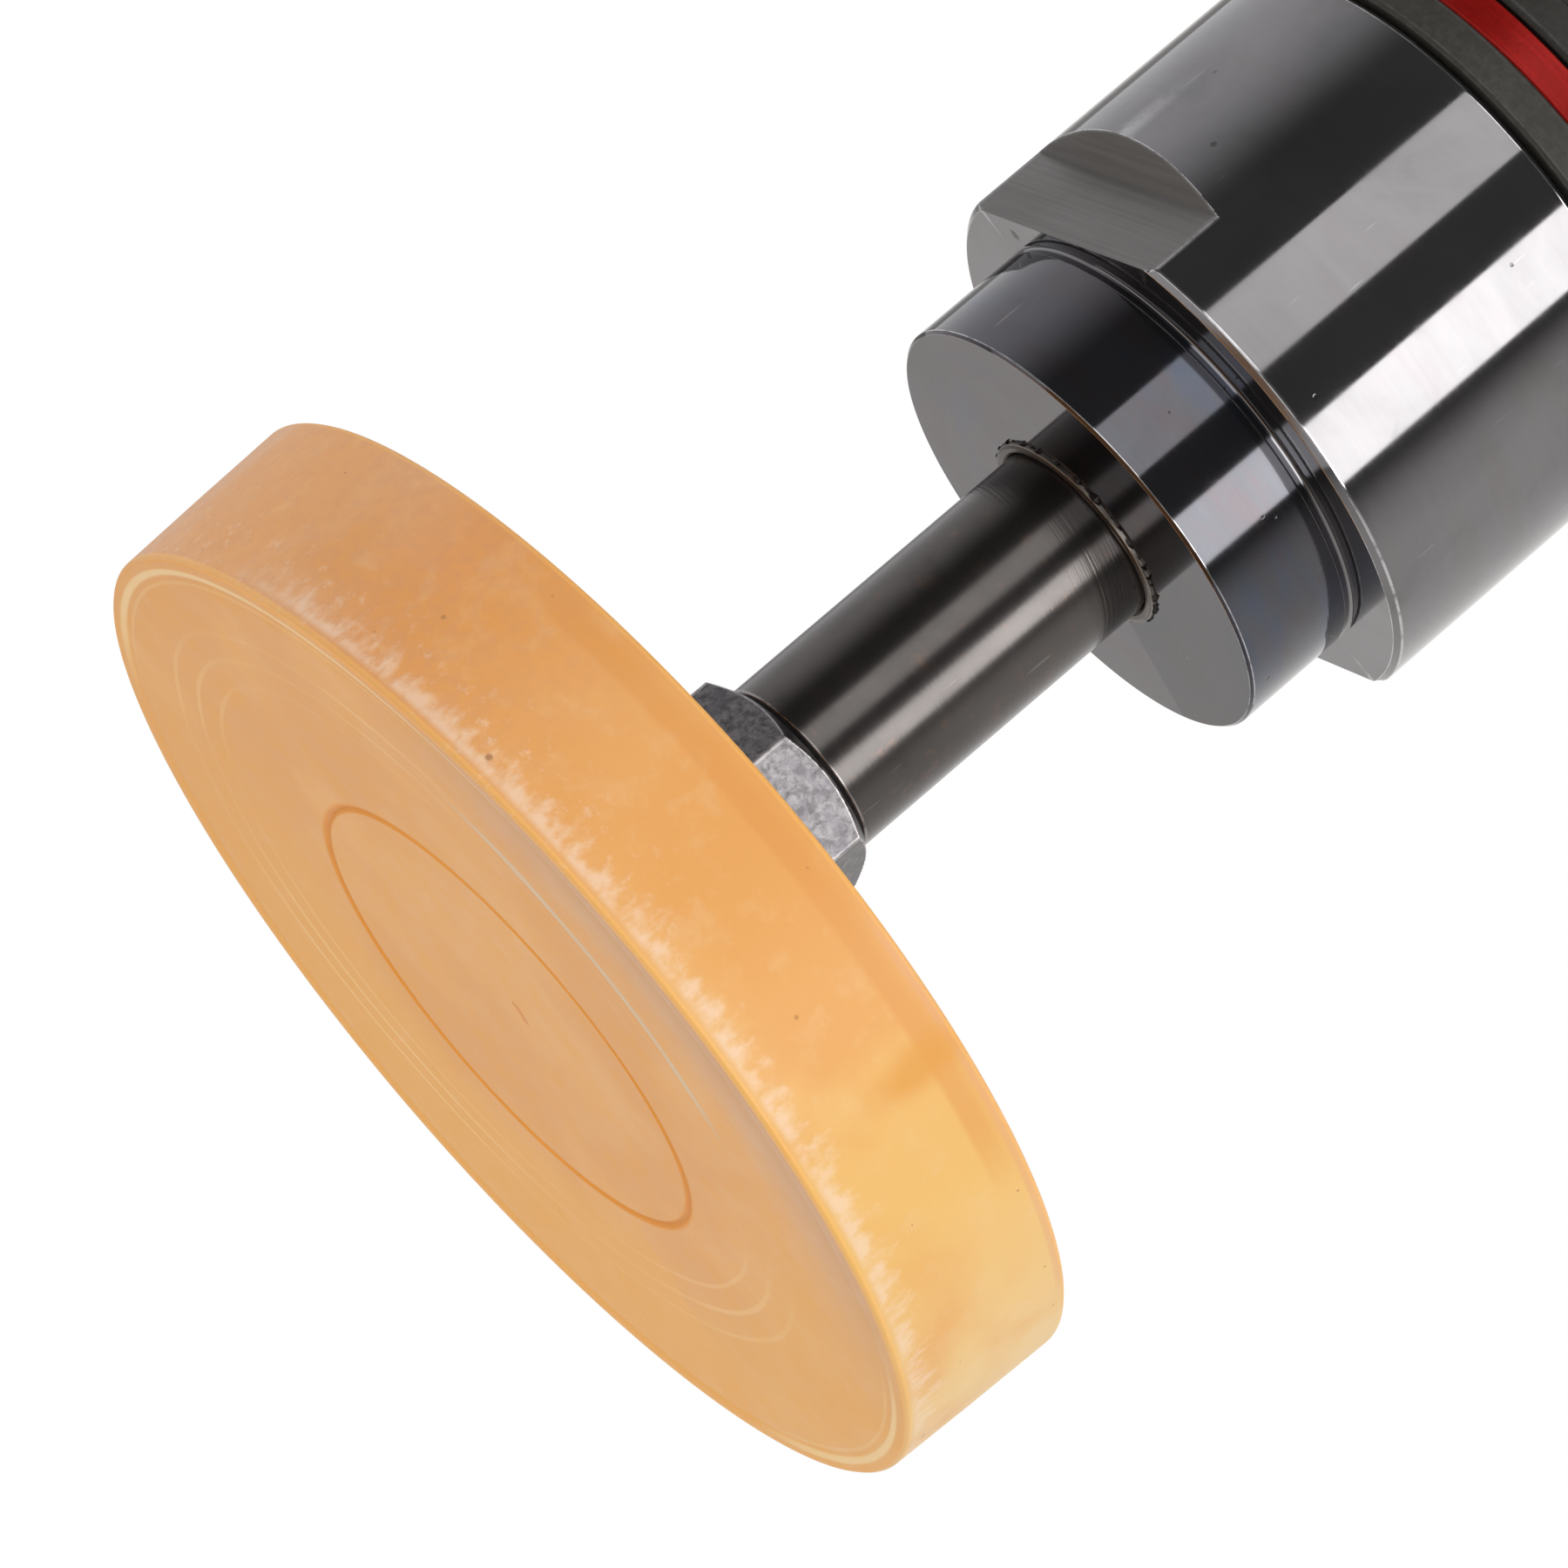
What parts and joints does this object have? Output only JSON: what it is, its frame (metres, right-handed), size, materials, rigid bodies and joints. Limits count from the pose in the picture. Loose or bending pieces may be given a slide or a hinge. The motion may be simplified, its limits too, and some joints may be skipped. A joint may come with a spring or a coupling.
{
  "type": "pneumatic eraser tool",
  "caption": "Straight compressed-air eraser tool: a caramel rubber wheel on a geared-down vane motor, with a lever throttle, for rubbing adhesive weights off wheels.",
  "frame": {"origin": "on the spindle axis at the middle of the hand grip, 190 mm behind the wheel's front face", "axes": "+X along the spindle axis from the wheel to the air inlet, +Z square to the upper spanner flat and towards the throttle lever, +Y to the left of the lever when looking from the wheel's side along +X"},
  "size_m": [0.26, 0.0892, 0.0892],
  "materials": {
    "amber_rubber": "cloudy caramel moulded rubber, satin",
    "zinc_steel": "zinc plated, satin",
    "arbor_steel": "blackened steel, worn bright on the hexagon",
    "spindle_steel": "blackened, turned and polished",
    "gear_steel": "cut and hardened steel",
    "bright_steel": "ground bright steel",
    "spring_steel": "oiled spring steel",
    "blued_steel": "blackened steel, turned, glossy, oiled",
    "seal_steel": "blackened steel, staked edge",
    "black_band": "matt charcoal",
    "red_band": "red anodised, satin, finely turned",
    "motor_shell": "charcoal hard anodised aluminium, matt",
    "cast_iron": "ground iron",
    "vane_resin": "laminated cotton resin",
    "handle_metal": "charcoal coated casting",
    "grip_rubber": "ribbed matt rubber",
    "lever_steel": "black painted pressed steel",
    "brass": "turned brass",
    "nitrile": "black nitrile",
    "plated_steel": "nickel plated steel",
    "deflector_shell": "black moulded nylon",
    "felt": "pressed felt"
  },
  "bodies": {
    "tool_body": {"gear_housing": "blued_steel", "dust_seal": "seal_steel", "spindle_bearing_outer_rings": "bright_steel", "spindle_bearing_balls": "bright_steel", "outer_spacer": "spring_steel", "housing_circlip": "spring_steel", "ring_gear": "gear_steel", "ring_gear_keys": "bright_steel", "black_ring": "black_band", "red_ring": "red_band", "motor_housing": "motor_shell", "front_end_plate": "cast_iron", "motor_cylinder": "cast_iron", "rear_end_plate": "cast_iron", "rotor_bearing_outer_rings": "bright_steel", "rotor_bearing_balls": "bright_steel", "dowel_pins": "bright_steel", "housing_o_ring": "nitrile", "handle": "handle_metal", "grip_sleeve": "grip_rubber", "valve_guide": "brass", "valve_seat": "nitrile", "valve_cap": "plated_steel", "valve_cap_o_ring": "nitrile", "stem_o_ring": "nitrile", "valve_spring": "spring_steel", "lever_pin": "bright_steel", "regulator_clip": "spring_steel", "silencer": "felt", "inlet_bushing": "plated_steel", "inlet_o_ring": "nitrile", "inlet_screen": "brass"},
    "spindle": {"eraser_wheel": "amber_rubber", "wheel_insert": "zinc_steel", "wheel_arbor": "arbor_steel", "output_spindle": "spindle_steel", "carrier_plate": "gear_steel", "planet_pins": "bright_steel", "spindle_bearing_inner_rings": "bright_steel", "inner_spacer": "spring_steel", "spindle_circlip": "spring_steel"},
    "planet_1": {"planet_gear_1": "gear_steel"},
    "planet_2": {"planet_gear_2": "gear_steel"},
    "planet_3": {"planet_gear_3": "gear_steel"},
    "rotor": {"rotor": "gear_steel", "vanes": "vane_resin", "rotor_bearing_inner_rings": "bright_steel"},
    "lever": {"throttle_lever": "lever_steel"},
    "valve": {"valve_stem": "bright_steel"},
    "regulator": {"speed_regulator": "plated_steel", "regulator_o_ring": "nitrile"},
    "deflector": {"exhaust_deflector": "deflector_shell"}
  },
  "joints": [
    {"name": "spindle_spin", "type": "hinge", "parent": "tool_body", "child": "spindle", "pos_m": [-0.1615, 0, 0], "axis": [1, 0, 0], "continuous": true},
    {"name": "planet_1_spin", "type": "hinge", "parent": "spindle", "child": "planet_1", "pos_m": [-0.0985, 0.0105, 0], "axis": [1, 0, 0], "continuous": true},
    {"name": "planet_2_spin", "type": "hinge", "parent": "spindle", "child": "planet_2", "pos_m": [-0.0985, -0.00525, 0.00909], "axis": [1, 0, 0], "continuous": true},
    {"name": "planet_3_spin", "type": "hinge", "parent": "spindle", "child": "planet_3", "pos_m": [-0.0985, -0.00525, -0.00909], "axis": [1, 0, 0], "continuous": true},
    {"name": "rotor_spin", "type": "hinge", "parent": "tool_body", "child": "rotor", "pos_m": [-0.057, 0, 0], "axis": [1, 0, 0], "continuous": true},
    {"name": "lever_press", "type": "hinge", "parent": "tool_body", "child": "lever", "pos_m": [0.042, 0, 0.0265], "axis": [0, -1, 0], "range_deg": [0, 5.8], "stiffness_Nm_per_rad": 2, "springref_deg": -6.88},
    {"name": "valve_push", "type": "slide", "parent": "tool_body", "child": "valve", "axis": [0, 0, -1], "range_m": [0, 0.002], "deforming": ["valve_spring"]},
    {"name": "regulator_turn", "type": "hinge", "parent": "tool_body", "child": "regulator", "pos_m": [0.0365, 0, -0.0205], "axis": [0, 0, 1], "range_deg": [0, 90]},
    {"name": "deflector_turn", "type": "hinge", "parent": "tool_body", "child": "deflector", "pos_m": [0.053, 0, 0], "axis": [1, 0, 0], "continuous": true}
  ],
  "couplings": [
    {"joint": "planet_1_spin", "follows": "spindle_spin", "ratio": -2.6667},
    {"joint": "planet_2_spin", "follows": "spindle_spin", "ratio": -2.6667},
    {"joint": "planet_3_spin", "follows": "spindle_spin", "ratio": -2.6667},
    {"joint": "rotor_spin", "follows": "spindle_spin", "ratio": 5},
    {"joint": "valve_push", "follows": "lever_press", "m_per_rad": 0.0195}
  ]
}
